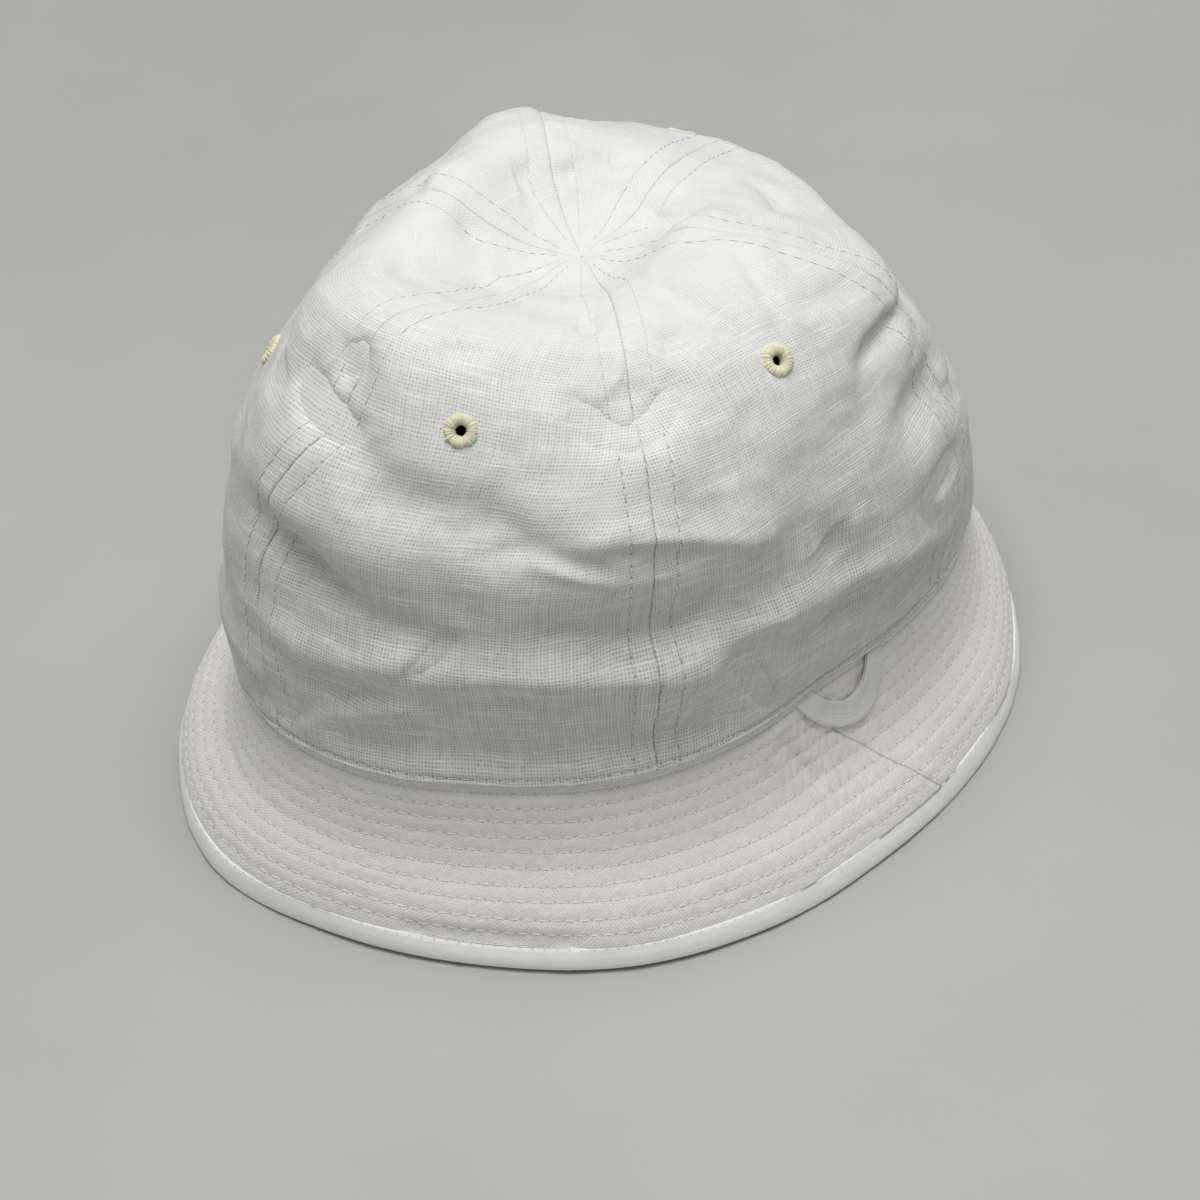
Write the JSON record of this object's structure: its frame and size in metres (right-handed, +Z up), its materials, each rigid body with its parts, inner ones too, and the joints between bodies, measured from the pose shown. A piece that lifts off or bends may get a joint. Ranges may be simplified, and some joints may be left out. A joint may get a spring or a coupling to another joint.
{
  "type": "bucket hat",
  "caption": "Soft six-panel linen hat with a short, steep, row-stitched brim, bound edge, thread eyelets and a small hanging loop.",
  "frame": {"origin": "middle of the brim edge's bounding box, on the surface that the hat stands on", "axes": "+Z up the hat's axis, -Y the side that shows in front, +X to the right of it"},
  "size_m": [0.226, 0.2141, 0.1591],
  "materials": {
    "crown_linen": "plain-weave off-white linen, matt, open weave with slubs",
    "brim_linen": "off-white linen, firm, stitched in rows",
    "edge_tape": "smooth bias tape, off-white, matt",
    "loop_linen": "folded off-white linen strip, matt",
    "eyelet_thread": "cream embroidery thread, slight sheen"
  },
  "bodies": {
    "root": {"crown_panel_1": "crown_linen", "crown_panel_2": "crown_linen", "crown_panel_3": "crown_linen", "crown_panel_4": "crown_linen", "crown_panel_5": "crown_linen", "crown_panel_6": "crown_linen", "brim": "brim_linen", "brim_binding": "edge_tape", "hanging_loop": "loop_linen", "eyelet_1": "eyelet_thread", "eyelet_2": "eyelet_thread", "eyelet_3": "eyelet_thread", "eyelet_4": "eyelet_thread", "eyelet_5": "eyelet_thread", "eyelet_6": "eyelet_thread"}
  },
  "joints": []
}
